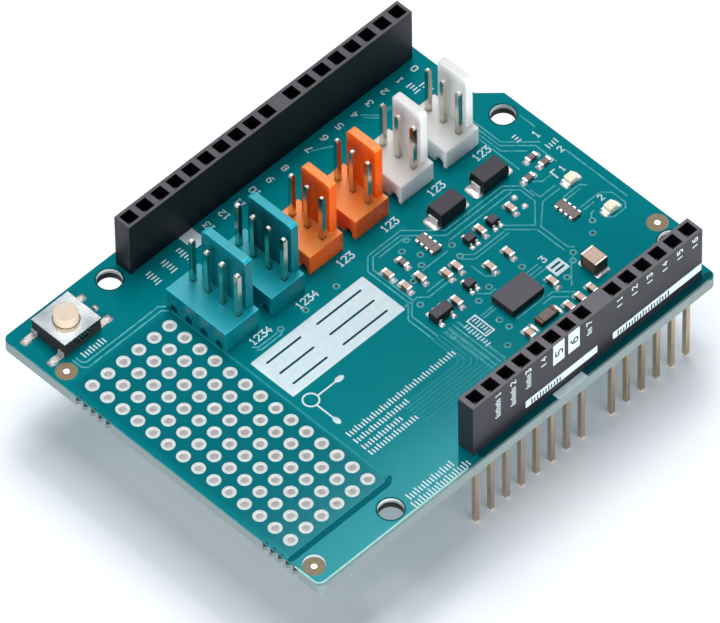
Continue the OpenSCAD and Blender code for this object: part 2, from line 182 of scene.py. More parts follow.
def figures(text, x, y, tall, turn=0, stroke=0.19, base=0.0):
    """Bars along the strokes of a row of figures, scaled to their height, centred on a place and turned."""
    start = -((len(text) - 1) * FIGURE_STEP + FIGURE_WIDE) / 2
    paths = [np.asarray(path, float) + (start + k * FIGURE_STEP, -FIGURE_HIGH / 2)
             for k, figure in enumerate(text) for path in STROKES[figure]]
    return [bar(path * tall / FIGURE_HIGH @ heading(turn) + (x, y), stroke, INK, base) for path in paths]


def scale(x, y, length, tall, turn=0, step=0.47, base=0.0):
    """A plain scale: upright strokes at equal steps along a line through a place, every third one long."""
    rises = [tall * (SHORT_STROKE if k % 3 else LONG_STROKE) for k in range(int(length / step) + 1)]
    paths = [[(k * step - length / 2, -tall / 2), (k * step - length / 2, rise)]
             for k, rise in enumerate(rises)]
    return [bar(np.array(path) @ heading(turn) + (x, y), SCALE_STROKE, INK, base) for path in paths]


def on_top(points):
    """Leaves points on the board's top face."""
    return points


def on_face(front):
    """Stands points on an upright face so far from the board's front edge: x stays, y becomes height."""
    return lambda points: np.stack([points[:, 0], front - points[:, 2], points[:, 1]], -1)


def piece(name, surfaces, material, lay=on_top):
    """One mesh of several surfaces, laid in place, with seams and poles merged."""
    counts = np.cumsum([0] + [len(points) for points, _ in surfaces])
    points = lay(np.concatenate([points for points, _ in surfaces])) * MM + BOARD_CORNER
    faces = np.concatenate([faces + count for (_, faces), count in zip(surfaces, counts)])
    mesh = bpy.data.meshes.new(name)
    mesh.from_pydata(points, [], faces)
    work = bmesh.new()
    work.from_mesh(mesh)
    bmesh.ops.remove_doubles(work, verts=work.verts, dist=MERGE)
    work.to_mesh(mesh)
    work.free()
    mesh.materials.append(material)
    thing = bpy.data.objects.new(name, mesh)
    bpy.context.scene.collection.objects.link(thing)
    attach(thing, "board")
    return thing


# Finishes

def linear(colour):
    """Linear colour of an sRGB hex value."""
    part = np.array([int(colour[k:k + 2], 16) for k in (1, 3, 5)]) / 255
    return (*np.where(part <= 0.04045, part / 12.92, ((part + 0.055) / 1.055) ** 2.4).tolist(), 1.0)


def add(tree, kind, inputs, **settings):
    """Adds one node with its settings; each input is a value or the socket that feeds it."""
    node = tree.nodes.new(kind)
    for name, value in settings.items():
        setattr(node, name, value)
    for socket, value in inputs.items():
        if isinstance(value, bpy.types.NodeSocket):
            tree.links.new(value, node.inputs[socket])
        else:
            node.inputs[socket].default_value = value
    return node


def blank(name):
    """A new material with an empty node tree."""
    material = bpy.data.materials.new(name)
    material.use_nodes = True
    material.node_tree.nodes.clear()
    return material, material.node_tree


# Faces are walls where the height of their normal is under this.
WALL_NORMAL = 0.5


def wall_test(tree):
    """1 on upright faces and 0 on flat ones, going by the height of the normal."""
    faces = add(tree, "ShaderNodeNewGeometry", {})
    parts = add(tree, "ShaderNodeSeparateXYZ", {0: faces.outputs["Normal"]})
    height = add(tree, "ShaderNodeMath", {0: parts.outputs[2]}, operation="ABSOLUTE")
    wall = add(tree, "ShaderNodeMath", {0: height.outputs[0], 1: WALL_NORMAL}, operation="LESS_THAN")
    return wall.outputs[0]


# Values of the noise between which the shades of a finish are spread
NOISE_LOW, NOISE_HIGH = 0.3, 0.7


def finish(name, dark, pale, grain, rough, relief=0.1, stretch=(1, 1, 1), walls=None, **sockets):
    """Noise with a grain in millimetres moves the colour between two shades and the roughness between two
    values, and raises a relief of a tenth of its grain. Upright faces may have two shades of their own,
    which paint light and shade on them."""
    material, tree = blank(name)
    place = add(tree, "ShaderNodeTexCoord", {})
    drawn = add(tree, "ShaderNodeMapping", {"Vector": place.outputs["Object"], "Scale": stretch})
    noise = add(tree, "ShaderNodeTexNoise", {
        "Vector": drawn.outputs[0], "Scale": 1 / (grain * MM), "Detail": 3.0})
    level = add(tree, "ShaderNodeMapRange", {
        "Value": noise.outputs["Fac"], "From Min": NOISE_LOW, "From Max": NOISE_HIGH})
    shade = add(tree, "ShaderNodeMix", {
        "Factor": level.outputs[0], 6: linear(dark), 7: linear(pale)}, data_type="RGBA")
    if walls:
        side = add(tree, "ShaderNodeMix", {
            "Factor": level.outputs[0], 6: linear(walls[0]), 7: linear(walls[1])}, data_type="RGBA")
        shade = add(tree, "ShaderNodeMix", {
            "Factor": wall_test(tree), 6: shade.outputs[2], 7: side.outputs[2]}, data_type="RGBA")
    gloss = add(tree, "ShaderNodeMapRange", {
        "Value": level.outputs[0], "To Min": rough[0], "To Max": rough[1]})
    bump = add(tree, "ShaderNodeBump", {
        "Height": noise.outputs["Fac"], "Strength": relief, "Distance": grain * MM / 10})
    body = add(tree, "ShaderNodeBsdfPrincipled", {
        "Base Color": shade.outputs[2], "Roughness": gloss.outputs[0], "Normal": bump.outputs[0],
        **{socket.replace("_", " "): value for socket, value in sockets.items()}})
    add(tree, "ShaderNodeOutputMaterial", {"Surface": body.outputs[0]})
    return material


# Bare field of the grid, and how far its edge fades
FIELD = [(0.9, 5.9), (16.6, 42.4)]
FIELD_FADE = 0.3
# Size of the clouds in the mask over wide copper, and of the threads in the cut laminate
CLOUD, WEAVE = 9, 0.25


def mask_finish():
    """Green-blue solder mask over copper, darker over the bare field of the grid, with grey-green laminate
    wherever the wall of the board shows. The field is where the larger of |x| - half and |y| - half, from
    the middle of its box, is below nought."""
    material, tree = blank("solder_mask_on_glass_laminate")
    place = add(tree, "ShaderNodeTexCoord", {})
    low, high = (np.array([*corner, 0]) * MM + BOARD_CORNER for corner in FIELD)
    middle, half = (low + high) / 2, (high - low) / 2
    moved = add(tree, "ShaderNodeVectorMath", {0: place.outputs["Object"], 1: middle}, operation="SUBTRACT")
    folded = add(tree, "ShaderNodeVectorMath", {0: moved.outputs[0]}, operation="ABSOLUTE")
    apart = add(tree, "ShaderNodeVectorMath", {0: folded.outputs[0], 1: half}, operation="SUBTRACT")
    sides = add(tree, "ShaderNodeSeparateXYZ", {0: apart.outputs[0]})
    rim = add(tree, "ShaderNodeMath", {0: sides.outputs[0], 1: sides.outputs[1]}, operation="MAXIMUM")
    field = add(tree, "ShaderNodeMapRange", {
        "Value": rim.outputs[0], "From Min": FIELD_FADE * MM, "From Max": -FIELD_FADE * MM})
    noise = add(tree, "ShaderNodeTexNoise", {
        "Vector": place.outputs["Object"], "Scale": 1 / (CLOUD * MM), "Detail": 2.0})
    copper = add(tree, "ShaderNodeMix", {
        "Factor": noise.outputs["Fac"], 6: linear("#00767D"), 7: linear("#008289")}, data_type="RGBA")
    bare = add(tree, "ShaderNodeMix", {
        "Factor": field.outputs[0], 6: copper.outputs[2], 7: linear("#006F77")}, data_type="RGBA")
    weave = add(tree, "ShaderNodeTexNoise", {"Vector": place.outputs["Object"], "Scale": 1 / (WEAVE * MM)})
    laminate = add(tree, "ShaderNodeMix", {
        "Factor": weave.outputs["Fac"], 6: linear("#7B8A8A"), 7: linear("#909C9C")}, data_type="RGBA")
    wall = wall_test(tree)
    colour = add(tree, "ShaderNodeMix", {
        "Factor": wall, 6: bare.outputs[2], 7: laminate.outputs[2]}, data_type="RGBA")
    gloss = add(tree, "ShaderNodeMapRange", {"Value": wall, "To Min": 0.06, "To Max": 0.75})
    bump = add(tree, "ShaderNodeBump", {
        "Height": weave.outputs["Fac"], "Strength": 0.08, "Distance": 0.01 * MM})
    body = add(tree, "ShaderNodeBsdfPrincipled", {
        "Base Color": colour.outputs[2], "Roughness": gloss.outputs[0], "Normal": bump.outputs[0],
        "Specular IOR Level": 0.055, "Metallic": 0.055})
    add(tree, "ShaderNodeOutputMaterial", {"Surface": body.outputs[0]})
    return material


# Solder mask is a glossy, slightly cloudy skin that lies over everything flat.
solder_mask = mask_finish()
# Over the edges of copper tracks it is raised, thin and pale, and over thin copper only a little paler.
masked_copper = finish("solder_mask_over_copper_edge", "#34929A", "#62B6BB", 0.6, (0.25, 0.4),
                       Specular_IOR_Level=0.06)
faint_copper = finish("solder_mask_over_thin_copper", "#17848C", "#2A9299", 0.6, (0.25, 0.4),
                      Specular_IOR_Level=0.06)
# With no copper below it is dark, and in the groove beside the grid's field half as dark.
dark_mask = finish("solder_mask_over_bare_laminate", "#00474F", "#005159", 0.6, (0.4, 0.55),
                   Specular_IOR_Level=0.04)
groove_mask = finish("solder_mask_in_groove", "#005B65", "#006771", 0.6, (0.4, 0.55),
                     Specular_IOR_Level=0.02)
# Where it ends it has a pale green line, a painted highlight, and inside a drilled hole an almost white lip,
# painted light.
mask_edge_highlight = finish("mask_edge_painted_highlight", "#8CC9C4", "#B0DCD6", 0.5, (0.4, 0.55))
lip_painted_light = finish("mask_lip_painted_light", "#E2F0EE", "#F4FBFA", 0.5, (0.5, 0.6))
# Glass laminate is dull and grainy: near black in a bore, which is painted shade, grey-green at a sawn rim,
# brown where left bare.
drilled_wall = finish("drilled_laminate_in_shade", "#241E1C", "#38302C", 0.2, (0.6, 0.8), relief=0.3)
cut_rim = finish("cut_laminate_rim", "#6F8B87", "#84A09A", 0.3, (0.6, 0.8), relief=0.2)
bare_laminate = finish("bare_glass_laminate", "#75664C", "#8F7E5E", 0.35, (0.5, 0.7), relief=0.3)
# Screen-printed ink is flat, matt and slightly uneven.
white_ink = finish("white_screen_print", "#CBDDE2", "#D7E8EC", 0.8, (0.55, 0.75))
black_ink = finish("black_screen_print", "#1B1B1D", "#2A2A2D", 0.3, (0.5, 0.7))
# Tin solder is bright with soft uneven highlights; on the switch's leads and pads it is a duller, greyer
# copy, painted shade.
tin = finish("bright_tin_solder", "#DEDCD6", "#F6F5F1", 0.4, (0.3, 0.45), relief=0.25, Metallic=0.8)
dull_tin = finish("tin_lead_painted_shade", "#8F8C88", "#BDBAB5", 0.3, (0.4, 0.55), relief=0.25, Metallic=0.7)
# Levelled tin on the grid's pads is flat and satin; down the plated bores it is painted almost white,
# painted light.
grid_tin = finish("tinned_grid_pad", "#B8C3C1", "#D2DBD9", 0.5, (0.5, 0.6), walls=("#FFF9F5", "#FFFDFB"),
                  Metallic=0.1)
# Drawn pins mirror their surroundings in streaks along their length: silvery tin, and a dull flash of gold.
pin_tin = finish("tin_plated_pin", "#BDB8AC", "#DAD6CB", 0.8, (0.1, 0.2), relief=0.05,
                 stretch=(1, 1, 0.15), Metallic=1.0)
pin_gold = finish("flash_gold_pin", "#B39E84", "#C5B39B", 1.2, (0.25, 0.4), relief=0.05,
                  stretch=(1, 1, 0.15), Metallic=1.0)
# Moulded nylon has a glossy skin that lets light in; the coloured ones are painted paler where they face up
# and deeper on their walls, painted light and shade.
teal_nylon = finish("teal_moulded_nylon", "#10A0AD", "#18AAB7", 5, (0.24, 0.32), relief=0.02,
                    walls=("#006069", "#016A74"), Specular_IOR_Level=0.3,
                    Subsurface_Weight=0.6, Subsurface_Scale=2 * MM, Subsurface_Radius=(0.2, 0.8, 1.0))
orange_nylon = finish("orange_moulded_nylon", "#FF8F42", "#FF994F", 5, (0.24, 0.32), relief=0.02,
                      walls=("#FF5E0C", "#FF6816"), Specular_IOR_Level=0.3,
                      Subsurface_Weight=0.5, Subsurface_Scale=1.2 * MM, Subsurface_Radius=(1.0, 0.35, 0.12))
# White nylon is painted a little greyer on its tops and whiter on its walls, painted shade and painted
# light, which sets the tops off from the walls and the floor.
white_nylon = finish("white_moulded_nylon", "#DEDEDA", "#E6E6E2", 5, (0.26, 0.34), relief=0.02,
                     walls=("#FDFCF9", "#FFFEFB"), Specular_IOR_Level=0.3,
                     Subsurface_Weight=0.8, Subsurface_Scale=1.5 * MM, Subsurface_Radius=(1.0, 1.0, 1.0))
# Glass-filled nylon of the front header is near black and satin with a fine grain, and its top is painted
# grey, a painted sheen.
header_plastic = finish("black_glass_filled_nylon", "#48444A", "#565158", 0.18, (0.4, 0.5), relief=0.12,
                        walls=("#17151B", "#211F27"))
# The back header has a shaded copy of the same nylon: less glossy, its walls painted blacker, painted shade,
# and its top painted grey, a painted sheen.
shaded_plastic = finish("black_nylon_painted_shade", "#48444A", "#565158", 0.18, (0.4, 0.5), relief=0.12,
                        walls=("#0B0A0D", "#131115"), Specular_IOR_Level=0.3)
# The switch has a dull black base and a smooth cream button.
switch_plastic = finish("black_switch_moulding", "#141315", "#201E20", 0.25, (0.65, 0.8), relief=0.15,
                        Specular_IOR_Level=0.3)
button_plastic = finish("cream_button_moulding", "#D9C2A8", "#E3D0B8", 2.0, (0.35, 0.45), relief=0.05)
# Rolled stainless cover is bright and almost plain, and painted darker down its sides, painted shade.
cover_steel = finish("rolled_stainless_cover", "#C0C4C0", "#D6D9D5", 5, (0.115, 0.16), relief=0.02,
                     walls=("#3F4243", "#505355"), Metallic=1.0)
# Spring steel of the dome is bright and finely grained.
dome_steel = finish("spring_steel_dome", "#B4B4B8", "#D9D9DC", 0.2, (0.2, 0.3), Metallic=1.0)
# Moulded epoxy packages are dark and dull and finely pitted by the mould; their tops are painted lighter and
# their sides darker, painted light and shade.
package_epoxy = finish("black_epoxy_package", "#2E2A2F", "#3B363C", 0.15, (0.42, 0.55), relief=0.2,
                       walls=("#0A090A", "#131113"), Specular_IOR_Level=0.3)
small_epoxy = finish("worn_black_epoxy_package", "#423D42", "#514B51", 0.15, (0.45, 0.6), relief=0.2,
                     walls=("#0E0C0E", "#1A171A"), Specular_IOR_Level=0.3)
sensor_epoxy = finish("grey_epoxy_sensor_cap", "#4B474D", "#575259", 0.2, (0.5, 0.62), relief=0.15,
                      walls=("#0E0C0E", "#191619"), Specular_IOR_Level=0.35)
# Fired ceramic is chalky and slightly mottled; its tops are painted lighter and its walls darker, painted
# light and shade.
tan_ceramic = finish("tan_fired_ceramic", "#C6A793", "#D7BBA7", 0.4, (0.45, 0.6),
                     walls=("#513C2B", "#67503B"))
brown_ceramic = finish("brown_fired_ceramic", "#5C493F", "#75604F", 0.4, (0.4, 0.55),
                       walls=("#2B211A", "#3B2F25"))
# Plated ends have a soft metallic sheen, brown on the filter capacitor and pale on the large one, with their
# walls painted darker, painted shade.
brown_end = finish("dull_brown_plated_end", "#4A3524", "#604630", 0.3, (0.35, 0.5), relief=0.15,
                   walls=("#33241A", "#4A3626"), Metallic=0.4)
shaded_end = finish("tin_plated_end_painted_shade", "#DCCFBC", "#F2E7D6", 0.4, (0.4, 0.55), relief=0.15,
                    walls=("#34312B", "#4B473F"), Metallic=0.3)
# Glass glaze on the resistors is brown and shiny.
resistor_glaze = finish("brown_glass_glaze", "#54433F", "#776159", 0.4, (0.25, 0.4))
# Lamps have a shiny cream lens of resin on a white base.
led_lens = finish("clear_lens_resin", "#F8EFCB", "#FFF9E4", 0.5, (0.12, 0.25), relief=0.05)
led_base = finish("white_lamp_base", "#DDD8C8", "#EFEBDD", 0.4, (0.5, 0.65))

HOUSINGS = {"bus_connector_1": teal_nylon, "bus_connector_2": teal_nylon,
            "output_connector_1": orange_nylon, "output_connector_2": orange_nylon,
            "input_connector_1": white_nylon, "input_connector_2": white_nylon}
# Finish and edge radius in millimetres of each CAD node
DRESS = {
    "circuit_board": (solder_mask, 0), "grid_pads": (grid_tin, 0.03),
    "digital_header_body": (shaded_plastic, 0.08), "power_header_body": (header_plastic, 0.08),
    "digital_header_contacts": (pin_gold, 0), "power_header_contacts": (pin_gold, 0),
    "reset_switch_base": (switch_plastic, 0.1), "reset_switch_cover": (cover_steel, 0.1),
    "reset_button": (button_plastic, 0.3), "reset_switch_terminals": (dull_tin, 0.04),
    "sensor_chip": (sensor_epoxy, 0.06),
    "diode_1_body": (package_epoxy, 0.1), "diode_2_body": (package_epoxy, 0.1),
    "diode_1_leads": (tin, 0.04), "diode_2_leads": (tin, 0.04),
    "led_1_base": (led_base, 0), "led_2_base": (led_base, 0),
    "led_1_lens": (led_lens, 0.12), "led_2_lens": (led_lens, 0.12),
    "led_1_terminals": (tin, 0.03), "led_2_terminals": (tin, 0.03),
    "bulk_capacitor_body": (tan_ceramic, 0.08), "bulk_capacitor_ends": (shaded_end, 0.08),
    "filter_capacitor_body": (brown_ceramic, 0.08), "filter_capacitor_ends": (brown_end, 0.08),
    "regulator_body": (small_epoxy, 0.06), "regulator_leads": (tin, 0.02),
    "transistor_bodies": (small_epoxy, 0.06), "transistor_leads": (tin, 0.02),
    "resistor_array_1_body": (resistor_glaze, 0.04), "resistor_array_2_body": (resistor_glaze, 0.04),
    "resistor_array_1_ends": (tin, 0.03), "resistor_array_2_ends": (tin, 0.03),
    "chip_capacitor_bodies": (tan_ceramic, 0.05), "chip_capacitor_ends": (tin, 0.06),
    "chip_resistor_bodies": (resistor_glaze, 0.04), "chip_resistor_ends": (tin, 0.04),
    "test_points": (tin, 0), "header_solder": (tin, 0), "connector_solder": (tin, 0),
    **{name + "_housing": (nylon, 0.22) for name, nylon in HOUSINGS.items()},
    **{name + "_pins": (pin_tin, 0) for name in HOUSINGS},
}
# Edges over this radius are rounded in three steps, and the others in two.
WIDE_EDGE = 0.1
for name, (material, edge) in DRESS.items():
    node = nodes[name]
    node.data.materials.clear()
    node.data.materials.append(material)
    if edge:
        weld = node.modifiers.new("weld", "WELD")
        weld.merge_threshold = MERGE
        merge = node.modifiers.new("flat_faces", "DECIMATE")
        merge.decimate_type = "DISSOLVE"
        merge.angle_limit = math.radians(2)
        bevel = node.modifiers.new("edge", "BEVEL")
        bevel.width = edge * MM
        bevel.segments = 3 if edge > WIDE_EDGE else 2
        bevel.limit_method = "ANGLE"
        bevel.angle_limit = math.radians(40)
        bevel.use_clamp_overlap = True

# Snap dome of the reset switch

DOME_STEEL = 0.08


def snap_dome():
    """A thin spherical cap, turned from its outer and inner arcs, with a mesh of its own."""
    low, high = box_mm("reset_switch_dome")
    rim, rise = (high[0] - low[0]) / 2, high[2] - low[2]
    ball = (rim ** 2 + rise ** 2) / (2 * rise)
    share = np.linspace(1, 0, 13)
    arcs = []
    for radius, out in ((ball, share), (ball - DOME_STEEL, share[::-1])):
        reach = math.sqrt(radius ** 2 - (ball - rise) ** 2) * out
        arcs.append(np.stack([reach, low[2] + np.sqrt(radius ** 2 - reach ** 2) - (ball - rise)], 1))
    profile = np.concatenate([*arcs, arcs[0][:1]])
    centre = (low[:2] + high[:2]) / 2
    dome = piece("snap_dome", [turned(profile, [centre], 40)], dome_steel)
    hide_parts("reset_switch_dome")
    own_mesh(dome)


snap_dome()

# Tracks under the mask

TRACK, TRACK_HIGH = 0.21, 0.035
TRACKS = [
    # Pair that goes round the small parts and comes back along the diodes
    [(35.6, 17), (35.6, 21.2), (37.5, 23.1), (37.5, 29.85), (39.2, 31.55), (44.7, 31.55), (48.4, 27.8),
     (58, 27.8), (59.6, 26.2), (59.6, 24)],
    [(36.3, 17), (36.3, 21.3), (38.1, 23.1), (38.1, 29.55), (39.5, 31), (44.1, 31), (47.95, 27.15),
     (57.8, 27.15), (59.1, 25.85), (59.1, 23.4), (56.48, 20.75), (53.9, 23.3)],
    [(39.9, 30.45), (43.8, 30.45), (44.5, 29.75)],
    [(47.6, 26.35), (58.2, 26.35)],
    # Y of pairs towards the large capacitor
    [(53.5, 22.8), (56.15, 20.1), (56.15, 15.6)],
    [(62.6, 22.65), (59.7, 22.65), (56.8, 20.1), (56.8, 15.7), (57.3, 15.1)],
    # Left of the chips
    [(36.8, 22.9), (38.8, 22.9), (39.8, 21.95), (43.2, 21.95)],
    [(40.3, 22.65), (43.2, 22.65)],
    [(46.9, 24.0), (48.2, 22.7), (53.2, 22.7)],
    [(46.6, 23.3), (47.75, 22.15), (53.4, 22.15)],
    [(42.2, 25.35), (46.4, 25.35)],
    [(46.7, 21.6), (46.7, 19.5), (47.4, 18.8), (48.5, 18.8)],
    # Bundle from the digital header to the right edge
    [(61.3, 38), (61.3, 28.2)],
    [(61.8, 38), (61.8, 31.7), (64.0, 29.5)],
    [(62.3, 38), (62.3, 32.4), (65.3, 29.4), (65.3, 26)],
    [(62.8, 38), (62.8, 32.7), (66.1, 29.4)],
    [(67.35, 26.4), (67.35, 16.2)],
    [(67.35, 34), (67.35, 31.6)],
    [(61.0, 25.8), (61.9, 24.9), (63.2, 24.9)],
    [(59.95, 24.9), (59.95, 23.4), (62.5, 23.4)],
    [(61.9, 21.4), (64.6, 21.4), (65.2, 20.8)],
    [(61.9, 20.9), (64.2, 20.9)],
    # Round the lower lamp
    [(62.1, 18.85), (65.5, 18.85), (66.5, 17.8), (66.5, 15.6), (65.9, 15), (63.9, 15), (63.1, 15.9)],
    [(62.1, 18.3), (63.9, 18.3)],
    [(61.9, 16.75), (62.5, 17.35), (63, 17.35)],
    # Round the sensor
    [(42.1, 15.1), (44.1, 15.1)],
    [(42.1, 15.55), (44.1, 15.55)],
    [(50.3, 15.2), (52.5, 15.2)],
    [(50.3, 15.75), (52.4, 15.75)],
    [(50.3, 16.3), (52.3, 16.3)],
    [(44.8, 12.2), (49.2, 12.2), (50.6, 13.6)],
    [(48.6, 11.6), (50.0, 11.6), (51.4, 10.2)],
    [(49.6, 12.1), (50.6, 12.1), (52.5, 10.2)],
    [(52.9, 11.2), (55.2, 13.5), (56.2, 14.2)],
    [(46.2, 17.2), (45.2, 17.2), (44.2, 18.2)],
    # Beside the reset switch, and from the vias in front of the bus connectors
    [(3.6, 45), (3.6, 43.5), (4.1, 43), (16.2, 43), (16.8, 42.4)],
    [(4.1, 45), (4.1, 44.15), (4.55, 43.7), (16.4, 43.7), (17.05, 43.05)],
    [(19.8, 31.4), (20.35, 30.85), (23.4, 30.85)],
    [(19.9, 30.75), (20.3, 30.35), (23.6, 30.35), (24.1, 30.85)],
    # Between the digital header and the connectors
    [(45.9, 47.9), (48.4, 46.5)],
    [(54.1, 47.6), (55.5, 46.1), (57.5, 46.1)],
    [(54.1, 47.0), (55.2, 45.8), (57.5, 45.8)],
]
COMB = [[(x, 16.8), (x, 9)] for x in (37.4, 38.0, 38.75, 39.5)]
copper = [bar(path, TRACK, TRACK_HIGH) for path in TRACKS + COMB]
piece("copper_tracks", copper, masked_copper)
# Fan of fainter tracks that turns from the comb to the left, each inside the last
FAINT, FAINT_HIGH = 0.26, 0.02
FAN_STEPS = 0.55 * np.arange(8)
FAN = [[(35.5 + s, 17), (35.5 + s, 12.9 - s), (35 + s, 12.4 - s), (26, 12.4 - s)] for s in FAN_STEPS]
piece("faint_tracks", [bar(path, FAINT, FAINT_HIGH) for path in FAN], faint_copper)
# Border of the grid's field: a dark groove along the front and a raised line on the right
GROOVE = [(0.5, 5.5), (16.4, 5.5), (17.1, 6.0)]
piece("field_gap", [bar(GROOVE, 0.8, 0.01)], groove_mask)
piece("field_border", [bar([(17.0, 6.2), (17.0, 42.0)], 0.3, FAINT_HIGH)], faint_copper)
# Where the mask ends at the board's edge: a pale line, a painted highlight, with bare laminate outside it
# along the front
EDGE_LINE = [(0.13, 4.4), (0.13, 1.3), (0.22, 0.98), (0.45, 0.68), (0.8, 0.5), (1.2, 0.46), (24.6, 0.46)]
LAMINATE_LINE = [(0.42, 0.42), (0.7, 0.24), (1.1, 0.15), (64.8, 0.15)]
piece("mask_edge_highlight", [bar(EDGE_LINE, 0.26, 0.016)], mask_edge_highlight)
# Down the left edge a fainter pale line is a painted highlight too.
piece("left_edge_highlight", [bar([(0.1, 51.6), (0.1, 4.6)], 0.2, 0.012)], faint_copper)
piece("front_rim", [bar(LAMINATE_LINE, 0.28, 0.01)], cut_rim)
# This dark strip in front of the power header is mask over bare laminate and partly the header's shadow,
# painted shade.
piece("front_strip", [bar([(27.2, 0.78), (65.4, 0.78)], 0.94, 0.008)], dark_mask)

VIAS = [
    (44.11, 30.02), (42.51, 29.15), (43.69, 27.24), (42.65, 26.03), (40.21, 24.96), (47.36, 25.64),
    (46.85, 23.78), (38.26, 21.85), (37.65, 15.74), (43.52, 17.33), (53.39, 12.44), (43.16, 13.55),
    (43.23, 12.03), (41.09, 10.15), (45.88, 17.98), (50.81, 17.36), (56.63, 14.59), (55.7, 13.75),
    (61.75, 16.42), (60.4, 15.04), (28.2, 30.9), (33.3, 30.9), (24.1, 30.95),
]
VIA_RING = [(0.48, 0), (0.42, 0.04), (0.28, 0.04), (0.22, 0.012)]
VIA_BORE = [(0.24, 0.011), (0.12, 0.013), (0, 0.013)]
piece("via_rings", [turned(VIA_RING, VIAS)], masked_copper)
piece("via_bores", [turned(VIA_BORE, VIAS)], drilled_wall)

# Solder and pads

# Chips that lie across the board and along it, and how far from a chip's middle its solder stands
CHIPS = [
    (38.65, 27.6), (38.8, 24.8), (41, 24.55), (43.6, 22.7), (45.2, 22.65), (41.4, 18.9), (51, 19.8),
    (47.95, 19.8), (51.5, 13), (54, 8.85), (52.05, 8.85), (50.2, 8.85), (43.95, 9.35), (56.1, 24.45),
    (51.15, 24.6), (41.25, 27.75),
]
ALONG_CHIPS = [(61, 26.3), (63.5, 28.3), (64.1, 26.7)]
CHIP_END = 0.85
FILLET_LONG, FILLET_SHORT = 0.46, 0.42
fillets = [(x, y + side * CHIP_END, FILLET_LONG, FILLET_SHORT) for x, y in CHIPS for side in (-1, 1)]
fillets += [(x + side * CHIP_END, y, FILLET_SHORT, FILLET_LONG) for x, y in ALONG_CHIPS for side in (-1, 1)]
piece("chip_solder", [cushions(fillets, 0.34, crown=1.6)], tin)

# Low pads, each as its middle, half length and half width
PAD_HIGH, PAD_CROWN = 0.22, 3
diode_pads = [(x, 29.6, half, 1.16)
              for x, half in ((55.1, 0.75), (60.15, 0.62), (48.1, 0.72), (52.85, 0.55))]
lamp_pads = [(x + side, y, 0.45, 0.66) for x, y in ((64.4, 22.6), (64.55, 16.15)) for side in (-0.95, 0.95)]
bulk_pads = [(56.85, 11.37 + side, 1.1, 0.45) for side in (-1.35, 1.35)]
filter_pads = [(47.25 + side, 9.8, 0.28, 0.85) for side in (-2.1, 1.9)]
transistor_pads = [(x + dx, y + dy, 0.34, 0.36) for x, y in ((44.3, 19.7), (49.25, 24.55), (53.15, 24.6))
                   for dx, dy in ((-0.45, -0.95), (0.45, -0.95), (0, 0.95))]
regulator_pads = [(38.85 + dx, 18.97 + dy, 0.33, 0.4)
                  for dx, dy in ((-0.95, -1.1), (0.95, -1.1), (-0.95, 1.1), (0, 1.1), (0.95, 1.1))]
low_pads = diode_pads + lamp_pads + bulk_pads + filter_pads + transistor_pads + regulator_pads
piece("pad_solder", [cushions(low_pads, PAD_HIGH, crown=PAD_CROWN)], tin)
switch_pads = [(x, y, 0.7, 0.55) for x, y in ((1.75, 51.03), (1.75, 46.53), (10.75, 51.1), (10.75, 46.6))]
switch_pads += [(11.0, 48.9, 0.33, 0.45)]
piece("switch_solder", [cushions(switch_pads, PAD_HIGH, crown=PAD_CROWN)], dull_tin)

# Bare places: three aiming marks, one with a pale crescent, a painted highlight, and a dark ring and a pale
# lip, painted light, at the mounting holes
MARKS = [(1.9, 44.38), (1.7, 2.9), (66.93, 10.7)]
HOLES = [(15.24, 50.8), (13.97, 2.54), (66.04, 35.56), (66.04, 7.62)]
BITES = [(0, y + (k - 2) * 1.255) for y in (6.74, 37.9) for k in range(5)]
MARK_DISC = [(1.36, 0), (1.33, 0.012), (0, 0.014)]
MARK_DOT = [(0.4, 0), (0.37, 0.04), (0.2, 0.055), (0, 0.06)]
piece("aiming_mark_laminate", [turned(MARK_DISC, MARKS, 32)], bare_laminate)
piece("aiming_mark_dots", [turned(MARK_DOT, MARKS)], tin)
# The pale crescent on the far rim of the second mark is a painted highlight.
piece("lip_painted_light", [crescent(MARKS[1], 1.38, 0.34, 45, 0.016)], white_ink)
piece("hole_rings", [turned([(1.8, 0), (1.78, 0.008), (1.62, 0.008)], HOLES, 40)], dark_mask)
# Walls of the holes, pale at the lip, painted light, and dark below, painted shade, and of the break-off
# bites, dark with painted shade
shaded_walls = [turned([(1.585, -0.68), (1.585, -1.58)], HOLES, 40)]
shaded_walls += [turned([(0.39, -0.02), (0.39, -0.9)], BITES, 13, 88)]
piece("hole_lips", [turned([(1.59, -0.01), (1.59, -0.7)], HOLES, 40)], lip_painted_light)
piece("hole_walls", shaded_walls, drilled_wall)

# White print on the board

# Plain panels: middle, half length and half width
PANEL = (27.2, 26.2, 9.35, 3.6)
SMALL_PANELS = [(41.9, 0.62, 2.5, 0.58), (26.5, 48.2, 1.1, 1.3), (53.75, 14.35, 1.1, 1.0)]
# Numbered pins of the digital header: the last six of its first group, and the eight of its second
PIN_X = [28.96 + PITCH * k for k in range(6)] + [45.72 + PITCH * k for k in range(8)]
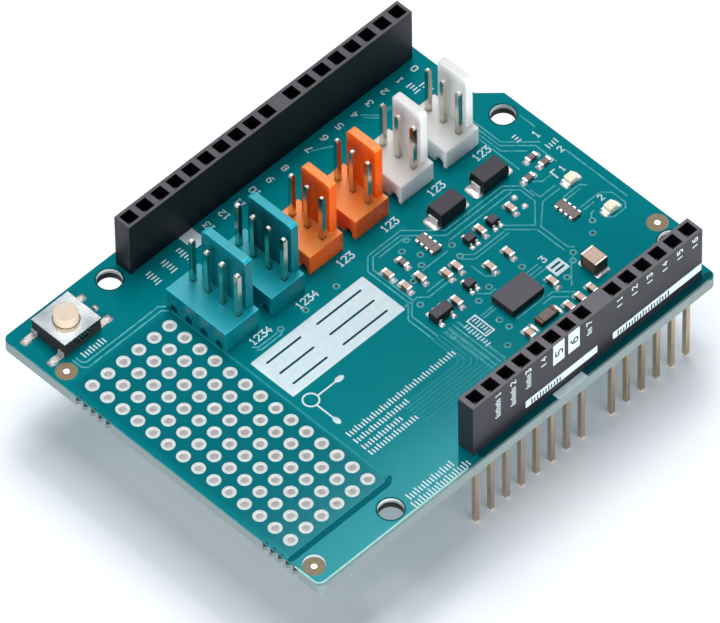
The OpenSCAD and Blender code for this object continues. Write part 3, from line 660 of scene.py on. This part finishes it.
# Counting figures: row, place, height, turn
PRINT = [
    ("1234", 21.7, 31.95, 0.95, 0), ("1234", 29.4, 31.95, 0.95, 0),
    ("123", 36.95, 33.1, 0.98, 0), ("123", 44.4, 33.1, 0.98, 0), ("123", 52.2, 33.1, 0.98, 0),
    ("123", 59.9, 33.1, 0.98, 0),
    ("1", 65.0, 24.65, 0.8, 0), ("2", 65.0, 18.2, 0.8, 0), ("1", 66.6, 30.6, 1.0, 0),
    ("2", 67.0, 26.9, 0.8, 0), ("3", 53.3, 16.4, 0.9, 0),
]
PRINT += [(str(13 - k), x + 0.25, 48.2, 0.85, 90) for k, x in enumerate(PIN_X)]
round_turn = np.linspace(0, 2 * np.pi, 25)
LINES = [
    # Two arrows from a ring
    np.stack([19 + np.cos(round_turn), 20.8 + np.sin(round_turn)], 1),
    [(20.05, 20.7), (23.4, 20.7)],
    [(18.95, 19.7), (18.95, 16.6)],
    # Frame of the label left of the sensor
    [(40.3, 12.95), (41.65, 12.95), (41.65, 16.1), (40.3, 16.1), (40.3, 12.95)],
    # Bracket round the upper lamp
    [(63.6, 24), (63.6, 25.2), (64.2, 25.2)],
]
ARROW_HEADS = [[(23.3, 20.7), (23.9, 20.7)], [(18.95, 16.7), (18.95, 16.2)]]
# Plain scales: middle, length, height of the strokes, turn
SCALES = [
    (6.66, 44.76, 3.3, 0.9, 0), (18.95, 47.3, 2.0, 1.0, 90), (21.5, 47.3, 2.0, 1.0, 90),
    (24.0, 47.3, 2.8, 0.9, 90), (27.1, 14, 17.4, 0.8, 0), (22.6, 12.7, 8.6, 0.75, 0),
    (21.4, 11.4, 6.2, 0.75, 0), (22.2, 10.25, 7.8, 0.75, 0), (20.4, 2.4, 7.4, 0.95, 0),
    (20.9, 1.15, 9.2, 0.95, 0), (64.4, 32.0, 1.4, 0.7, 90), (67.0, 28.3, 1.6, 0.8, 0),
    (61.4, 46.2, 1.6, 0.9, 90), (62.6, 45.2, 1.6, 0.9, 90), (40.95, 14.5, 2.4, 0.8, 90),
    (39.55, 13.8, 3.8, 0.75, 90),
]
white = [cushions([PANEL], INK, square=60, crown=40)]
white += [stroke for row in PRINT for stroke in figures(*row)]
white += [stroke for spot in SCALES for stroke in scale(*spot)]
white += [bar(line, 0.22, INK) for line in LINES]
white += [bar(head, 0.75, INK) for head in ARROW_HEADS]
white += [cushions(SMALL_PANELS, INK, square=30, crown=30)]
piece("white_print", white, white_ink)
# Ruled lines left out of the white panels, where the mask shows through
RULED = [[(x, y), (x + length, y)] for x, length in ((19.3, 5.5), (27.6, 7.2)) for y in (28.4, 26.2, 24.0)]
RULED += [[(53.1, y), (54.4, y)] for y in (14.7, 14.0)]
piece("panel_lines", [bar(line, 0.3, 0.012, INK) for line in RULED], dark_mask)

# White print on the front face of the power header

header_low, header_high = box_mm("power_header_body")
on_header = on_face(header_low[1])
SOCKETS = [header_high[0] - PITCH * 13.5 + PITCH * k for k in range(14)]
# Each printed socket has its number at one height and a short scale below it, down to its own foot.
NUMBER_UP, SCALE_TOP = 7.6, 6.9
SCALE_FOOT = {0: 3.7, 1: 3.7, 2: 4.7, 3: 6.5, 6: 5.7, **{k: 6.5 for k in range(8, 14)}}
# Two sockets have their number in a white field instead, and a white band runs below each group.
FRAMED, FIELD_UP = (4, 5), 6.7
BAND_UP = 1.75
BANDS = [(41.1, BAND_UP, 6.0, 0.62), (57.2, BAND_UP, 7.5, 0.62)]
face_print = []
for k, foot in SCALE_FOOT.items():
    face_print += figures(str(k % 8 + 1), SOCKETS[k], NUMBER_UP, 0.8, 90, 0.17)
    face_print += scale(SOCKETS[k], (SCALE_TOP + foot) / 2, SCALE_TOP - foot, 0.8, 90, 0.42)
fields = [(SOCKETS[k], FIELD_UP, 0.95, 1.8) for k in FRAMED]
face_print += [cushions(fields + BANDS, INK, square=40, crown=40)]
piece("header_print", face_print, white_ink, on_header)
dark_print = [stroke for k in FRAMED
              for stroke in figures(str(k + 1), SOCKETS[k], FIELD_UP, 1.1, 90, 0.22, base=INK)]
dark_print += scale(38.6, BAND_UP, 5.0, 0.85, base=INK) + scale(54.8, BAND_UP, 8.5, 0.85, base=INK)
piece("header_print_figures", dark_print, black_ink, on_header)

# Floor, light and camera

def background_rays(tree):
    """1 for rays from the camera, from mirrors and through clear pieces, and 0 for rays that carry light."""
    rays = add(tree, "ShaderNodeLightPath", {})
    seen = add(tree, "ShaderNodeMath", {
        0: rays.outputs["Is Camera Ray"], 1: rays.outputs["Is Glossy Ray"]}, operation="MAXIMUM")
    shown = add(tree, "ShaderNodeMath", {
        0: seen.outputs[0], 1: rays.outputs["Is Transmission Ray"]}, operation="MAXIMUM")
    return shown.outputs[0]


# White paper is matt and plain, and shows a little paler than the light on it would make it.
FLOOR_HALF, FLOOR_GLOW = 8.0, 0.13
paper, tree = blank("white_studio_paper")
glow = add(tree, "ShaderNodeMath", {0: background_rays(tree), 1: FLOOR_GLOW}, operation="MULTIPLY")
matt = add(tree, "ShaderNodeBsdfDiffuse", {"Color": linear("#F6F7F9")})
lift = add(tree, "ShaderNodeEmission", {"Color": linear("#D8E3F2"), "Strength": glow.outputs[0]})
both = add(tree, "ShaderNodeAddShader", {0: matt.outputs[0], 1: lift.outputs[0]})
add(tree, "ShaderNodeOutputMaterial", {"Surface": both.outputs[0]})
corners = np.array([(-1, -1, 0), (1, -1, 0), (1, 1, 0), (-1, 1, 0)]) * FLOOR_HALF
floor_mesh = bpy.data.meshes.new("floor")
floor_mesh.from_pydata(corners, [], [(0, 1, 2, 3)])
floor_mesh.materials.append(paper)
floor = bpy.data.objects.new("floor", floor_mesh)
bpy.context.scene.collection.objects.link(floor)

# The room gives a faint bluish light; mirrors and the camera see it paler.
ROOM_LIGHT, ROOM_SEEN = 0.23, 0.6
world = bpy.data.worlds.new("pale_room")
bpy.context.scene.world = world
world.use_nodes = True
tree = world.node_tree
tree.nodes.clear()
level = add(tree, "ShaderNodeMapRange", {
    "Value": background_rays(tree), "To Min": ROOM_LIGHT, "To Max": ROOM_SEEN})
sky = add(tree, "ShaderNodeBackground", {"Color": linear("#E4EDFF"), "Strength": level.outputs[0]})
add(tree, "ShaderNodeOutputWorld", {"Surface": sky.outputs[0]})


def softbox(name, place, width, height, power, aim):
    """A lamp with a flat front of that width and height, in metres, that looks at a point."""
    lamp = bpy.data.lights.new(name, "AREA")
    lamp.shape = "RECTANGLE"
    lamp.size, lamp.size_y = width, height
    lamp.energy = power
    thing = bpy.data.objects.new(name, lamp)
    thing.location = place
    thing.rotation_euler = (aim - thing.location).to_track_quat("-Z", "Y").to_euler()
    bpy.context.scene.collection.objects.link(thing)


MIDDLE = Vector((0, 0, board_high.z))
softbox("overhead_softbox", Vector((0.02, 0.09, 0.9)), 0.42, 0.42, 3.05, Vector((0.02, 0.09, 0)))
softbox("back_right_softbox", Vector((0.326, 0.303, 0.9)), 0.37, 0.37, 4.45, Vector((0.326, 0.303, 0)))
softbox("left_strip_light", Vector((-0.97, -0.1, 0.08)), 0.8, 0.12, 6.0, MIDDLE)
softbox("front_strip_light", Vector((-0.1, -0.96, 0.14)), 0.8, 0.12, 8.0, MIDDLE)

# The camera stands where lines through the sockets, holes and corners of the board meet in the image.
AIM = Vector((-1.761 * MM, -0.478 * MM, board_high.z))
AZIMUTH, ELEVATION, ROLL, AWAY, FOCAL = -44.234, 50.548, -0.970, 1.53749, 651.636
turn, rise = math.radians(AZIMUTH), math.radians(ELEVATION)
back = Vector((math.sin(turn) * math.cos(rise), -math.cos(turn) * math.cos(rise), math.sin(rise)))
tilt = Matrix.Rotation(math.radians(ROLL), 4, "Z").to_quaternion()
camera = bpy.data.objects.new("camera", bpy.data.cameras.new("camera"))
bpy.context.scene.collection.objects.link(camera)
camera.location = AIM + back * AWAY
camera.rotation_mode = "QUATERNION"
camera.rotation_quaternion = (-back).to_track_quat("-Z", "Y") @ tilt
camera.data.lens = FOCAL
camera.data.sensor_width = 36
camera.data.clip_end = 20
bpy.context.scene.camera = camera
bpy.context.scene.view_settings.view_transform = "Standard"
